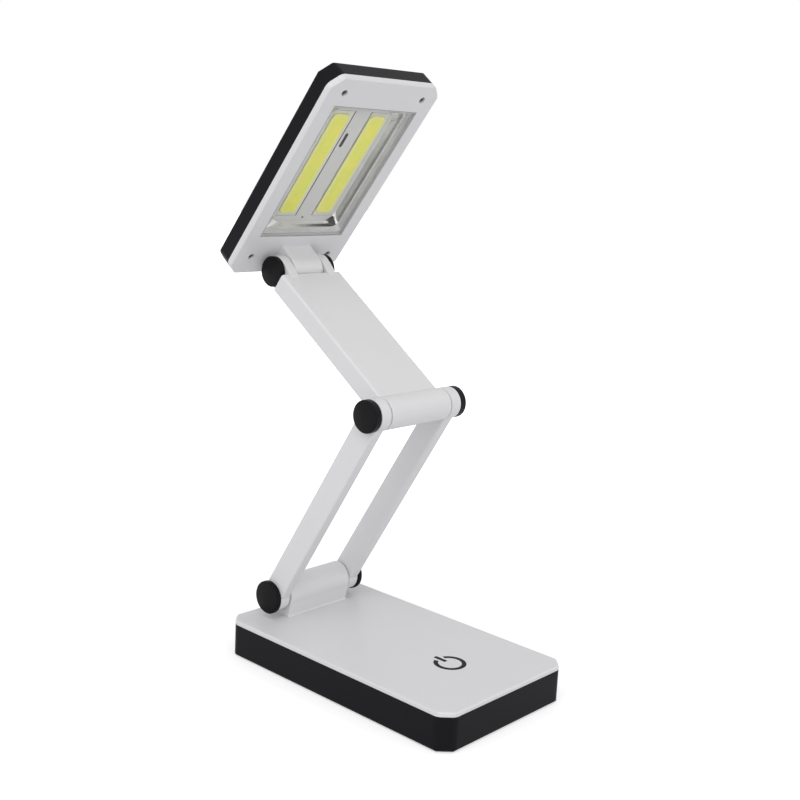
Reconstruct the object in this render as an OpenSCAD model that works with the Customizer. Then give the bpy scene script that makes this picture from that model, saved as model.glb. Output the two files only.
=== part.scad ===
// Accordion desk lamp: a flat base, a two-bar lower arm, a slab upper arm and a flat light head.
// X runs along the hinge axes, +Y towards the hinge end of the base and +Z up.
// The origin is under the middle of the lamp's bounding box, on the surface that the feet stand on.
// Left is the -X side, and all sizes are in millimetres and degrees.

/* [Base] */
// Length of the base, front to back
base_l = 140; // [125:1:180]
// Width of the base
base_w = 82.6; // [78:0.1:110]
// Height of the black lower shell
shell_h = 15.6; // [14.6:0.1:20]
// Thickness of the white top cover
cover_t = 2; // [1.6:0.1:3]
// Leg of the cut across each corner of the base
base_cut = 5.5; // [4:0.5:10]
// Radius of the upright edges of the base's corner cuts
base_round = 4.5; // [1:0.5:6]
// Bevel round the underside of the lower shell
shell_bevel = 0.8; // [0.5:0.1:1.5]
// Bevel round the top of the cover
cover_bevel = 0.7; // [0.3:0.1:1.2]
// Side wall of the lower shell
shell_wall = 1.6; // [1.2:0.1:2.4]
// Floor of the lower shell
shell_floor = 1.8; // [1.6:0.1:2.2]
// Radius of a rubber foot
foot_r = 4.5; // [3:0.5:5]
// Height by which a foot stands out of the underside
foot_proud = 0.4; // [0.2:0.1:1]
// Outer radius of the ring of the touch symbol
symbol_r = 7.4; // [6:0.1:10]
// Distance from the front edge of the base to the middle of the touch symbol
symbol_in = 34.4; // [30:0.1:40]

/* [Batteries] */
// Number of cells side by side
cell_count = 3; // [3:1:3]
// Radius of a cell
cell_r = 5.25; // [5:0.05:5.3]
// Length of a cell with its button
cell_l = 44.5; // [42:0.1:46]
// Distance from the front edge of the base to the middle of the battery bay
bay_in = 71; // [69:1:76]

/* [Hinges] */
// Distance from the rear edge of the base to the base hinge axis
hinge_inset = 13.1; // [11:0.1:20]
// Height of the base hinge axis above the cover
hinge_rise = 10.6; // [9:0.1:14]
// Radius of the hinge barrels on the base and on the head
barrel_r = 7.8; // [7:0.1:8.2]
// Radius of the eyes of the arms and of the elbow barrel
eye_r = 7.4; // [6.8:0.1:7.8]
// Radius of the black hinge caps
cap_r = 8; // [7.6:0.1:8.3]
// Radius of the caps on the elbow
elbow_cap_r = 7.35; // [7.1:0.05:7.8]
// Radius of the caps on the head hinge
head_cap_r = 7.2; // [7:0.1:7.8]
// Thickness of the caps on the base hinge
base_cap_t = 3.2; // [1.6:0.1:4]
// Thickness of the caps on the elbow
elbow_cap_t = 4.3; // [1.6:0.1:4.5]
// Thickness of the caps on the head hinge
head_cap_t = 3.3; // [1.6:0.1:4]
// Radius of the bolt in the base hinge and in the elbow
bolt_r = 2; // [1.5:0.1:2.4]
// Radius of the bolt in the head hinge
head_bolt_r = 1.5; // [1.2:0.1:1.8]

/* [Lower arm] */
// Distance between the base hinge axis and the elbow axis
lower_l = 117.6; // [110:0.1:125]
// Angle of the lower arm above the horizontal, leaning to the front
lower_angle = 58.6; // [20:0.1:90]
// Space between the two bars
bar_space = 40; // [40:0.5:50]
// Thickness of a bar along the hinge axis
bar_t = 6; // [5.8:0.1:8]
// Depth of a bar, seen from the side
bar_d = 12.1; // [9:0.1:13]
// Rounding of the long edges of a bar
bar_edge = 1; // [0.5:0.1:2]

/* [Upper arm] */
// Distance between the elbow axis and the head hinge axis
upper_l = 94.3; // [90:0.1:98]
// Angle of the upper arm above the horizontal, leaning to the back
upper_angle = 35; // [10:0.1:80]
// Width of the slab at the elbow
slab_w_elbow = 37.4; // [32:0.1:38]
// Width of the slab at the head end
slab_w_head = 37.6; // [36:0.1:39.4]
// Thickness of the slab
slab_t = 10; // [9:0.1:12]
// Distance from the head hinge axis back to the shoulders of the slab
shoulder_in = 8; // [7:0.1:12]
// Thickness of an ear at the head hinge
ear_t = 5.1; // [4.2:0.1:5.6]
// Wall of the slab
slab_wall = 1.8; // [1.4:0.1:2]

/* [Head] */
// Angle of the head above the horizontal, leaning to the front
head_angle = 52; // [0:0.1:90]
// Distance from the head hinge axis to the white face
face_in = 8.9; // [8.4:0.1:11]
// Distance from the head hinge axis to the lower edge of the head
head_tail = 9.5; // [8.5:0.1:11]
// Thickness of the white front
front_t = 2.7; // [2.6:0.1:4]
// Thickness of the black back shell
back_t = 8.3; // [7.5:0.1:12]
// Leg of the cut across each corner of the head
head_cut = 5.5; // [4:0.5:10]
// Radius of the edges of the head's corner cuts
head_round = 4.5; // [1:0.5:6]
// Bevel round the white face
face_bevel = 0.8; // [0.3:0.1:1.2]
// Bevel round the back of the head
back_bevel = 1; // [0.5:0.1:1.6]
// Wall of the back shell
back_wall = 1.6; // [1.2:0.1:2]
// Width of the head's hinge barrel
knuckle_w = 18; // [16:0.5:20]

/* [Light window] */
// Width of the window
window_w = 52.2; // [50:0.1:54]
// Height of the window
window_l = 75.6; // [74:0.1:78]
// Width of the border of the head below the window
border_low = 23.2; // [22:0.1:26]
// Width of the border above the window
border_top = 14.6; // [13.8:0.1:18]
// Width of the border beside the window
border_side = 8.1; // [7.4:0.1:12]
// Thickness of the clear cover
lens_t = 1.5; // [1:0.1:1.6]
// Depth of the reflector floor behind the white face
tray_depth = 6; // [5.4:0.1:6.2]
// Width of a light strip
strip_w = 9.8; // [7:0.1:10]
// Length of a light strip
strip_l = 58; // [50:0.5:60]
// Distance between the middles of the two light strips
strip_pitch = 22.8; // [21:0.1:24]
// Height of the middle of the strips above the middle of the window
strip_rise = 1.3; // [0:0.1:1.5]
// Distance of the screws from the side edges of the head
screw_side = 9.7; // [9:0.1:10.5]
// Distance of the lower screws from the lower edge of the head
screw_low = 11; // [9.5:0.1:12]
// Distance of the upper screws from the upper edge of the head
screw_top = 7.8; // [7.2:0.1:8.2]

/* [Hidden] */
$fn = 64;

// Overrun of every cut
over = 1;
// Running clearance of a bolt or a screw in its hole
run_gap = 0.05;
// Gap between flat faces that turn against each other
face_gap = 0.1;
// Gap round a piece that drops into a recess
seat_gap = 0.15;
// Gap round a turning curved face
turn_gap = 0.4;

// Levels in the base
shell_low = foot_proud;
floor_mid = shell_low + shell_floor / 2;
floor_top = shell_low + shell_floor;
shell_top = shell_low + shell_h;
cover_top = shell_top + cover_t;

// Hinge axes at rest, first their distances behind the middle of the base
hinge_back = base_l / 2 - hinge_inset;
elbow_back = hinge_back - lower_l * cos(lower_angle);
head_axis_back = elbow_back + upper_l * cos(upper_angle);
head_w = window_w + 2 * border_side;
head_l = border_low + window_l + border_top;
head_depth = face_in + front_t + back_t;
head_reach = head_axis_back + max(
    head_depth * sin(head_angle) + (head_tail - back_bevel) * cos(head_angle),
    (head_depth - back_bevel) * sin(head_angle) + head_tail * cos(head_angle)
);
base_y = -max(0, head_reach - base_l / 2) / 2;
hinge_y = base_y + hinge_back;
hinge_z = cover_top + hinge_rise;
elbow_y = base_y + elbow_back;
elbow_z = hinge_z + lower_l * sin(lower_angle);
head_y = base_y + head_axis_back;
head_z = elbow_z + upper_l * sin(upper_angle);

// Places along the hinge axes, measured from the middle plane
bar_in = bar_space / 2;
bar_out = bar_in + bar_t;
washer_t = 0.5;
barrel_end = bar_in - face_gap - washer_t;
ear_in = knuckle_w / 2 + washer_t + face_gap;
ear_out = ear_in + ear_t;

// Sunk seats of the bolt heads and nuts
seat_r = 4.3;
seat_depth = 3.2;
bolt_head_r = 3.8;
bolt_head_t = 2.4;
head_seat_r = 3.4;
head_seat_depth = 2.3;
head_bolt_head_r = 2.9;
head_bolt_head_t = 1.6;
spigot_l = 0.6;
spigot_wall = 0.6;
cap_dome = 0.6;
cap_rim = 0.4;
washer_r = 6;

// Rubber feet and the screws that hold the base together
foot_t = 1.2;
foot_bevel = 0.3;
foot_inset = 9;
foot_x = base_w / 2 - foot_inset;
foot_y = base_l / 2 - foot_inset;
post_inset = 9;
post_from_end = 21;
post_x = base_w / 2 - post_inset;
post_y = base_l / 2 - post_from_end;
post_r = 3.8;
post_h = 8.6;
post_top = shell_low + post_h;
screw_r = 1.2;
screw_head_r = 2.4;
screw_head_t = 1.6;
screw_sunk_r = 2.7;
screw_sunk = 4;
screw_cover = 1.2;
screw_end = shell_top - screw_cover;
screw_spare = 0.5;
block_screw_x = 11;
block_screw_in = 5;
recess_share = 0.65;
recess_w = 0.5;
recess_deep = 0.5;
boss_r = 2.9;
lip_wall = 1.2;
lip_h = 2.4;

// Battery bay, open to the underside and closed by the door
cell_space = 0.4;
cell_pitch = 2 * cell_r + cell_space;
cell_play = 0.3;
cell_lift = 0.1;
button_r = 1.9;
button_l = 1;
plate_t = 0.4;
plate_w = 8;
spring_l = 3.1;
spring_r = 3.8;
spring_tip_r = 2.4;
spring_wall = 0.5;
contact_play = 0.1;
bay_y = bay_in - base_l / 2;
bay_w = cell_count * cell_pitch + 2 * cell_play;
bay_l = cell_l + 2 * plate_t + spring_l + 3 * contact_play;
bay_wall = 1.2;
bay_roof = 1;
door_t = shell_floor;
door_top = shell_low + door_t;
cell_z = door_top + cell_lift + cell_r;
bay_top = cell_z + cell_r + contact_play;
door_end = 7;
door_tab_w = 8;
door_tab_l = 2;
door_tab_t = 1.2;
door_screw_r = 1;
door_screw_head_r = 1.9;
door_screw_head_t = 0.9;
door_boss_r = 2.6;
door_boss_h = 9;
door_boss_top = shell_low + door_boss_h;
door_screw_tip = 1.5;
door_hole_tip = 1;

// Touch board under the symbol
symbol_y = symbol_in - base_l / 2;
symbol_line = 2;
symbol_t = 0.4;
symbol_gap = 23;
symbol_fit = 0.05;
bar_from_share = 0.32;
bar_to_share = 1.22;
board_w = 32;
board_l = 18;
board_t = 1.2;
pad_r = 6;
pad_t = 2.4;
board_top = shell_top - pad_t;
peg_inset = 3;
peg_x = board_w / 2 - peg_inset;
peg_r = 1;
peg_seat_r = 2;
chip_w = 6;
chip_l = 5;
chip_t = 1.4;
chip_x = -7;
coil_r = 2.6;
coil_t = 2.4;
coil_x = 7;

// Lower arm details
lead_r = 1;
lead_way_r = lead_r + seat_gap;
lead_x = (bar_in + bar_out) / 2;
lead_short = 0.2;
lead_end = seat_r + lead_short;
eye_edge = 0.6;
hump_in = 2.2;
hump_foot = 0.7;

// Upper arm details
slab_edge = 1.2;
shoulder_z = upper_l - shoulder_in;
slab_taper = atan((slab_w_head - slab_w_elbow) / 2 / shoulder_z);
slab_end_wall = 3;
slab_inner_z0 = eye_r + slab_end_wall;
slab_inner_z1 = shoulder_z - slab_end_wall;
ear_slope = 20;
cover_ledge = 1.2;
cover_plate_t = 1.6;
cover_screw_in = 5;
cover_screw_r = 0.9;
cover_screw_head_r = 1.8;
cover_screw_head_t = 0.8;
cover_screw_l = 4.6;
cover_post_r = 2.2;

// Head layers, measured from the hinge axis to the back
face_y = face_in;
seam_y = face_y + front_t;
back_y = seam_y + back_t;
lens_sunk = 0.2;
lens_y = face_y + lens_sunk;
tray_y = lens_y + lens_t;
floor_y = face_y + tray_depth;
tray_floor_t = 0.8;
plate_y = floor_y + tray_floor_t;
spreader_t = 1;
back_inner_y = back_y - back_wall;
flange = 3;
flange_t = 0.8;
tray_wall = 1.2;
mouth_r = 2;
floor_r = 7;
floor_side = 6.3;
floor_end = 4.4;
step_depth = 3.6;
step_lean = 0.6;
step_w = 0.8;
step_r = 3;
window_z = border_low - head_tail;
window_mid = window_z + window_l / 2;
head_mid = head_l / 2 - head_tail;
board_edge = 1.1;
light_board_end = 1.6;
strip_t = 0.4;
strip_corner = 2;
wire_slot_x = -2.5;
wire_slot_z = 15.8;
wire_slot_l = 7.5;
wire_slot_w = 1;
peg_hole_z = -30.6;
peg_hole_r = 0.6;
slot_gap = 0.6;
head_lip_wall = 1.2;
head_lip_h = 2;
head_boss_r = 2.6;
head_screw_r = 0.9;
head_screw_head_r = 1.35;
head_screw_head_t = 1;
head_screw_sunk = 0.8;
head_screw_hole_r = 1.55;
head_screw_end = 0.6;
rib_t = 1.2;
knuckle_edge = 0.6;

// Radius of the dome on the end of a cap
function dome_r(radius) = (radius * radius + cap_dome * cap_dome) / 2 / cap_dome;

// Leg of a corner cut once its outline is moved inwards by a wall
function inner_cut(cut, wall) = cut - wall * (2 - sqrt(2));

// Rectangle with its corners cut at 45 degrees
module cut_rect(w, l, cut) {
    polygon([
        [-w / 2 + cut, -l / 2], [w / 2 - cut, -l / 2], [w / 2, -l / 2 + cut], [w / 2, l / 2 - cut],
        [w / 2 - cut, l / 2], [-w / 2 + cut, l / 2], [-w / 2, l / 2 - cut], [-w / 2, -l / 2 + cut]
    ]);
}

// Rectangle with its lower and upper corners bevelled by different amounts
module bevel_rect(w, h, low, high) {
    polygon([
        [-w / 2 + low, 0], [w / 2 - low, 0], [w / 2, low], [w / 2, h - high],
        [w / 2 - high, h], [-w / 2 + high, h], [-w / 2, h - high], [-w / 2, low]
    ]);
}

// Rectangle with round corners
module round_rect(w, l, r) {
    square([w - 2 * r, l], center = true);
    square([w, l - 2 * r], center = true);
    for (x = [-1, 1], y = [-1, 1])
        translate([x * (w / 2 - r), y * (l / 2 - r)])
            circle(r);
}

// Rectangle with its corners cut at 45 degrees and the ends of the cuts rounded
module soft_rect(w, l, cut, r) {
    a = w / 2;
    b = l / 2;
    t = r * tan(45 / 2);
    s = t / sqrt(2);
    polygon([
        [a, -b + cut + t], [a, b - cut - t], [a - s, b - cut + s], [a - cut + s, b - s],
        [a - cut - t, b], [-a + cut + t, b], [-a + cut - s, b - s], [-a + s, b - cut + s],
        [-a, b - cut - t], [-a, -b + cut + t], [-a + s, -b + cut - s], [-a + cut - s, -b + s],
        [-a + cut + t, -b], [a - cut - t, -b], [a - cut + s, -b + s], [a - s, -b + cut - s]
    ]);
    inner = inner_cut(cut, r);
    for (x = [-1, 1], y = [-1, 1]) {
        translate([x * (a - r), y * (b - r - inner)])
            circle(r);
        translate([x * (a - r - inner), y * (b - r)])
            circle(r);
    }
}

// Flat block with cut and rounded corners, bevelled all round its lower and upper faces
module bevel_block(w, l, h, cut, round_r, low, high) {
    across = (w + l) / sqrt(2) - cut * sqrt(2);
    intersection() {
        bevel_prism(w, l + over, 0, h, low, high);
        bevel_prism(l, w + over, 90, h, low, high);
        bevel_prism(across, w + l, -45, h, low, high);
        bevel_prism(across, w + l, 45, h, low, high);
        translate([0, 0, -over])
            linear_extrude(h + 2 * over)
                soft_rect(w, l, cut, round_r);
    }
}

// One of the four prisms that a bevelled block is the common part of
module bevel_prism(w, l, turn, h, low, high) {
    rotate([90, 0, turn])
        linear_extrude(l, center = true)
            bevel_rect(w, h, low, high);
}

// Ring with the outline of a block, used for the lips that locate two shells
module lip_ring(w, l, cut, wall, h) {
    linear_extrude(h)
        difference() {
            cut_rect(w, l, cut);
            cut_rect(w - 2 * wall, l - 2 * wall, inner_cut(cut, wall));
        }
}

// Cylinder along X from one place to another
module x_cylinder(r, from, to) {
    translate([from, 0, 0])
        rotate([0, 90, 0])
            cylinder(r = r, h = to - from);
}

// Cylinder along X with both rims rounded
module x_eye(r, from, to, edge) {
    translate([from, 0, 0])
        rotate([0, 90, 0])
            rotate_extrude()
                intersection() {
                    translate([0, (to - from) / 2])
                        round_rect(2 * r, to - from, edge);
                    square([r, to - from]);
                }
}

// Frame of the base, and frames of the moving parts, whose local Z runs along the arm or the head
module on_base() {
    translate([0, base_y, 0])
        children();
}

module on_lower() {
    translate([0, hinge_y, hinge_z])
        rotate([90 - lower_angle, 0, 0])
            children();
}

module on_elbow() {
    on_lower()
        translate([0, 0, lower_l])
            children();
}

module on_upper() {
    translate([0, elbow_y, elbow_z])
        rotate([upper_angle - 90, 0, 0])
            children();
}

module on_head_hinge() {
    on_upper()
        translate([0, 0, upper_l])
            children();
}

module on_head() {
    translate([0, head_y, head_z])
        rotate([90 - head_angle, 0, 0])
            children();
}

// Head pieces are drawn flat, with the face down at height 0, and stood up here
module on_face() {
    on_head()
        translate([0, face_y, 0])
            rotate([-90, 0, 0])
                mirror([0, 1, 0])
                    children();
}

// Repeats its children at the four corners of a rectangle
module corners(x, y) {
    for (sx = [-1, 1], sy = [-1, 1])
        translate([sx * x, sy * y, 0])
            children();
}

// Hinge hardware shared by the base hinge, the elbow and the head hinge
module hinge_bolt(r, head_radius, head_thick, outer, sunk) {
    x_cylinder(head_radius, -(outer - sunk) - head_thick, -(outer - sunk));
    x_cylinder(r, -(outer - sunk), outer - sunk + head_thick);
}

module hinge_nut(r, nut_radius, thick, outer, sunk) {
    difference() {
        translate([outer - sunk, 0, 0])
            rotate([0, 90, 0])
                cylinder(r = nut_radius, h = thick, $fn = 6);
        x_cylinder(r + run_gap, outer - sunk - over, outer - sunk + thick + over);
    }
}

// Cap with a shallow dome and a short spigot that snaps into the sunk seat
module hinge_cap(radius, outer, seat, thick) {
    side_t = thick - cap_dome - cap_rim;
    translate([outer, 0, 0])
        rotate([0, 90, 0])
            rotate_extrude() {
                intersection() {
                    polygon([
                        [0, 0], [radius - cap_rim, 0], [radius, cap_rim], [radius, side_t],
                        [radius - cap_rim, side_t + cap_rim], [radius - cap_rim, thick], [0, thick]
                    ]);
                    translate([0, thick - dome_r(radius)])
                        circle(dome_r(radius), $fn = 240);
                }
                translate([seat - run_gap - spigot_wall, -spigot_l])
                    square([spigot_wall, spigot_l + cap_rim]);
            }
}

module left_cap(radius, outer, seat, thick) {
    mirror([1, 0, 0])
        hinge_cap(radius, outer, seat, thick);
}

// Friction washers on both ends of a barrel
module washers(end, radius, hole) {
    for (side = [0, 1])
        mirror([side, 0, 0])
            difference() {
                x_cylinder(radius, end, end + washer_t);
                x_cylinder(hole + run_gap, end - over, end + washer_t + over);
            }
}

// Black lower shell with battery bay, screw posts and sockets for the feet
module base_shell() {
    color("#26262a")
        on_base()
        difference() {
            union() {
                difference() {
                    translate([0, 0, shell_low])
                        bevel_block(base_w, base_l, shell_h, base_cut, base_round, shell_bevel, 0);
                    translate([0, 0, floor_top])
                        linear_extrude(shell_h)
                            cut_rect(
                                base_w - 2 * shell_wall, base_l - 2 * shell_wall,
                                inner_cut(base_cut, shell_wall)
                            );
                }
                corners(post_x, post_y)
                    translate([0, 0, floor_mid])
                        cylinder(r = post_r, h = post_top - floor_mid);
                translate([0, bay_y, floor_mid])
                    bay_block(bay_w + 2 * bay_wall, bay_l + 2 * bay_wall, bay_top + bay_roof - floor_mid);
                translate([0, bay_y - bay_l / 2 - door_end / 2, floor_mid])
                    cylinder(r = door_boss_r, h = door_boss_top - floor_mid);
            }
            translate([0, bay_y, shell_low - over])
                bay_block(bay_w, bay_l, bay_top - shell_low + over);
            door_opening();
            translate([0, bay_y - bay_l / 2 - door_end / 2, 0])
                cylinder(r = door_screw_r + run_gap, h = door_boss_top - door_hole_tip);
            corners(post_x, post_y) {
                cylinder(r = screw_r + run_gap, h = post_top + over);
                cylinder(r = screw_sunk_r, h = shell_low + screw_sunk);
            }
            corners(foot_x, foot_y)
                cylinder(r = foot_r + run_gap, h = foot_t);
        }
}

module bay_block(w, l, h) {
    translate([-w / 2, -l / 2, 0])
        cube([w, l, h]);
}

// Through opening for the door, with slots for its two tabs over the floor
module door_opening() {
    translate([0, bay_y - door_end / 2, shell_low - over])
        bay_block(bay_w + 2 * seat_gap, bay_l + door_end + 2 * seat_gap, shell_floor + over);
    for (x = [-1, 1])
        translate([x * bay_w / 4, bay_y + bay_l / 2, floor_top])
            bay_block(door_tab_w + 2 * seat_gap, 2 * (door_tab_l + seat_gap), door_tab_t + seat_gap);
}

// Battery door on the underside, held by two tabs and one screw
module battery_door() {
    door_l = bay_l + door_end;
    color("#26262a")
        on_base()
        difference() {
            union() {
                translate([0, bay_y - door_end / 2, shell_low])
                    bay_block(bay_w, door_l, door_t);
                for (x = [-1, 1])
                    translate([x * bay_w / 4, bay_y + bay_l / 2, door_top])
                        bay_block(door_tab_w, 2 * door_tab_l, door_tab_t);
            }
            translate([0, bay_y - bay_l / 2 - door_end / 2, 0]) {
                cylinder(r = door_screw_r + run_gap, h = door_top + over);
                cylinder(r = door_screw_head_r + seat_gap, h = shell_low + door_screw_head_t);
            }
        }
}

// Flat screw with its head down and a cross recess in the head
module screw(head_radius, head_thick, r, from, to) {
    difference() {
        translate([0, 0, from])
            cylinder(r = head_radius, h = head_thick);
        for (turn = [0, 90])
            rotate([0, 0, turn])
                translate([-recess_share * head_radius, -recess_w / 2, from - over])
                    cube([2 * recess_share * head_radius, recess_w, recess_deep + over]);
    }
    translate([0, 0, from + recess_deep])
        cylinder(r = r, h = to - from - recess_deep);
}

module door_screw() {
    color("#9a9ca0")
        on_base()
            translate([0, bay_y - bay_l / 2 - door_end / 2, 0])
                screw(
                    door_screw_head_r, door_screw_head_t, door_screw_r, shell_low,
                    door_boss_top - door_screw_tip
                );
}

// One cell, its button towards +Y or towards -Y
module battery_cell(i) {
    way = i % 2 == 0 ? 1 : -1;
    x = (i - (cell_count - 1) / 2) * cell_pitch;
    translate([x, base_y + bay_y, cell_z])
        rotate([-90 * way, 0, 0])
            translate([0, 0, bay_l / 2 - plate_t - contact_play - cell_l]) {
                cylinder(r = cell_r, h = cell_l - button_l);
                cylinder(r = button_r, h = cell_l);
            }
}

module battery_cell_1() {
    color("#b9bcc2")
        battery_cell(0);
}

module battery_cell_2() {
    color("#b9bcc2")
        battery_cell(1);
}

module battery_cell_3() {
    color("#b9bcc2")
        battery_cell(2);
}

// Contact plates at the button ends, seated on the end walls of the bay
module plus_contacts() {
    color("#c8cace")
        for (i = [0:cell_count - 1]) {
            way = i % 2 == 0 ? 1 : -1;
            translate([(i - (cell_count - 1) / 2) * cell_pitch, base_y + bay_y, cell_z])
                translate([0, way * (bay_l - plate_t) / 2, 0])
                    cube([plate_w, plate_t, plate_w], center = true);
        }
}

// Contact plates with cone springs at the flat ends
module minus_contacts() {
    color("#c8cace")
        for (i = [0:cell_count - 1]) {
            way = i % 2 == 0 ? -1 : 1;
            translate([(i - (cell_count - 1) / 2) * cell_pitch, base_y + bay_y, cell_z])
                rotate([-90 * way, 0, 0])
                    translate([0, 0, bay_l / 2]) {
                        translate([0, 0, -plate_t / 2])
                            cube([plate_w, plate_w, plate_t], center = true);
                        translate([0, 0, -plate_t - spring_l])
                            difference() {
                                cylinder(r1 = spring_tip_r, r2 = spring_r, h = spring_l + plate_t / 2);
                                translate([0, 0, -spring_wall])
                                    cylinder(
                                        r1 = spring_tip_r - spring_wall, r2 = spring_r - spring_wall, h = spring_l
                                    );
                            }
                    }
        }
}

// White top cover with screw bosses and board pegs
module base_cover() {
    color("#e9e9ec")
        on_base()
        difference() {
            union() {
                translate([0, 0, shell_top])
                    bevel_block(base_w, base_l, cover_t, base_cut, base_round, 0, cover_bevel);
                translate([0, 0, shell_top - lip_h])
                    lip_ring(
                        base_w - 2 * shell_wall - 2 * seat_gap, base_l - 2 * shell_wall - 2 * seat_gap,
                        inner_cut(base_cut, shell_wall + seat_gap), lip_wall, lip_h + cover_t / 2
                    );
                corners(post_x, post_y)
                    translate([0, 0, post_top + face_gap])
                        cylinder(r = boss_r, h = shell_top - post_top - face_gap + cover_t / 2);
                for (x = [-1, 1])
                    translate([x * peg_x, symbol_y, 0]) {
                        translate([0, 0, board_top])
                            cylinder(r = peg_seat_r, h = pad_t + cover_t / 2);
                        translate([0, 0, board_top - board_t])
                            cylinder(r = peg_r, h = board_t + pad_t);
                    }
            }
            block_screw_places()
                cylinder(r = screw_r + run_gap, h = cover_top + over);
            corners(post_x, post_y)
                cylinder(r = screw_r + run_gap, h = screw_end + screw_spare);
            translate([0, symbol_y, cover_top - symbol_t])
                linear_extrude(symbol_t + over)
                    symbol_outline(symbol_fit);
        }
}

// Barrel of the base hinge on a foot that narrows and then spreads a little on the cover
module hinge_block() {
    waist = barrel_r - hump_in;
    color("#e9e9ec")
        on_base()
            difference() {
                translate([0, hinge_back, hinge_z]) {
                    x_eye(barrel_r, -barrel_end, barrel_end, eye_edge);
                    translate([-barrel_end, 0, 0])
                        rotate([90, 0, 90])
                            linear_extrude(2 * barrel_end)
                                polygon([
                                    [-barrel_r, 0], [-waist, hump_foot - hinge_rise],
                                    [-waist - hump_foot, -hinge_rise], [waist + hump_foot, -hinge_rise],
                                    [waist, hump_foot - hinge_rise], [barrel_r, 0]
                                ]);
                }
                translate([0, hinge_back, hinge_z])
                    x_cylinder(bolt_r + run_gap, -barrel_end - over, barrel_end + over);
                block_screw_places()
                    cylinder(r = screw_r + run_gap, h = cover_top + block_screw_in + screw_spare);
            }
}

// The hinge block is held from inside the base by two screws
module block_screw_places() {
    for (x = [-1, 1])
        translate([x * block_screw_x, hinge_back, 0])
            children();
}

module hinge_screws() {
    color("#9a9ca0")
        on_base()
            block_screw_places()
                screw(
                    screw_head_r, screw_head_t, screw_r, shell_top - screw_head_t,
                    cover_top + block_screw_in
                );
}

// Ring with a gap towards the hinge and a bar in the gap
module symbol_outline(grow) {
    reach = symbol_r * sin(symbol_gap);
    difference() {
        circle(symbol_r + grow);
        circle(symbol_r - symbol_line - grow);
        polygon([
            [0, 0], [reach - grow, symbol_r * cos(symbol_gap)], [reach - grow, 2 * symbol_r],
            [grow - reach, 2 * symbol_r], [grow - reach, symbol_r * cos(symbol_gap)]
        ]);
    }
    translate([-symbol_line / 2 - grow, bar_from_share * symbol_r - grow])
        square([symbol_line + 2 * grow, (bar_to_share - bar_from_share) * symbol_r + 2 * grow]);
}

module power_symbol() {
    color("#2b2b30")
        on_base()
            translate([0, symbol_y, cover_top - symbol_t])
                linear_extrude(symbol_t)
                    symbol_outline(0);
}

// Board with a chip and a round choke, hung on the pegs of the cover
module touch_board() {
    color("#2f6b46")
        translate([0, base_y + symbol_y, board_top - board_t])
            difference() {
                union() {
                    translate([-board_w / 2, -board_l / 2, 0])
                        cube([board_w, board_l, board_t]);
                    translate([chip_x - chip_w / 2, -chip_l / 2, -chip_t])
                        cube([chip_w, chip_l, chip_t + board_t / 2]);
                    translate([coil_x, 0, -coil_t])
                        cylinder(r = coil_r, h = coil_t + board_t / 2);
                }
                for (x = [-1, 1])
                    translate([x * peg_x, 0, -over])
                        cylinder(r = peg_r + run_gap, h = board_t + 2 * over);
            }
}

// Soft electrode between the board and the underside of the cover
module touch_pad() {
    color("#3a3a3e")
        translate([0, base_y + symbol_y, board_top])
            cylinder(r = pad_r, h = pad_t);
}

module rubber_feet() {
    color("#1c1c1e")
        on_base()
            corners(foot_x, foot_y) {
                cylinder(r1 = foot_r - foot_bevel, r2 = foot_r, h = foot_bevel);
                translate([0, 0, foot_bevel])
                    cylinder(r = foot_r, h = foot_t - foot_bevel);
            }
}

module base_screws() {
    color("#9a9ca0")
        on_base()
            corners(post_x, post_y)
                screw(screw_head_r, screw_head_t, screw_r, shell_low + screw_sunk - screw_head_t, screw_end);
}

module base_washers() {
    color("#d8d4c4")
        translate([0, hinge_y, hinge_z])
            washers(barrel_end, washer_r, bolt_r);
}

module base_bolt() {
    color("#b4b6ba")
        on_lower()
            hinge_bolt(bolt_r, bolt_head_r, bolt_head_t, bar_out, seat_depth);
}

module base_nut() {
    color("#b4b6ba")
        on_lower()
            hinge_nut(bolt_r, bolt_head_r, bolt_head_t, bar_out, seat_depth);
}

module base_cap_left() {
    color("#1d1d20")
        on_lower()
            left_cap(cap_r, bar_out, seat_r, base_cap_t);
}

module base_cap_right() {
    color("#1d1d20")
        on_lower()
            hinge_cap(cap_r, bar_out, seat_r, base_cap_t);
}

// Flat bar on the +X side with an eye at each end
module lower_bar() {
    mid = (bar_in + bar_out) / 2;
    on_lower()
        difference() {
            union() {
                translate([mid, 0, 0])
                    linear_extrude(lower_l)
                        round_rect(bar_t, bar_d, bar_edge);
                for (z = [0, lower_l])
                    translate([0, 0, z])
                        x_eye(eye_r, bar_in, bar_out, eye_edge);
            }
            for (z = [0, lower_l])
                translate([0, 0, z]) {
                    x_cylinder(bolt_r + run_gap, bar_in - over, bar_out + over);
                    x_cylinder(seat_r, bar_out - seat_depth, bar_out + over);
                }
            translate([lead_x, 0, seat_r - over])
                cylinder(r = lead_way_r, h = lower_l - 2 * seat_r + 2 * over);
        }
}

module lower_bar_left() {
    color("#e9e9ec")
        mirror([1, 0, 0])
            lower_bar();
}

module lower_bar_right() {
    color("#e9e9ec")
        lower_bar();
}

// Two-core lead in the way of the right bar
module lower_lead() {
    color("#b23b32")
        on_lower()
            translate([lead_x, 0, lead_end])
                cylinder(r = lead_r, h = lower_l - 2 * lead_end);
}

module elbow_bolt() {
    color("#b4b6ba")
        on_elbow()
            hinge_bolt(bolt_r, bolt_head_r, bolt_head_t, bar_out, seat_depth);
}

module elbow_nut() {
    color("#b4b6ba")
        on_elbow()
            hinge_nut(bolt_r, bolt_head_r, bolt_head_t, bar_out, seat_depth);
}

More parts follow.
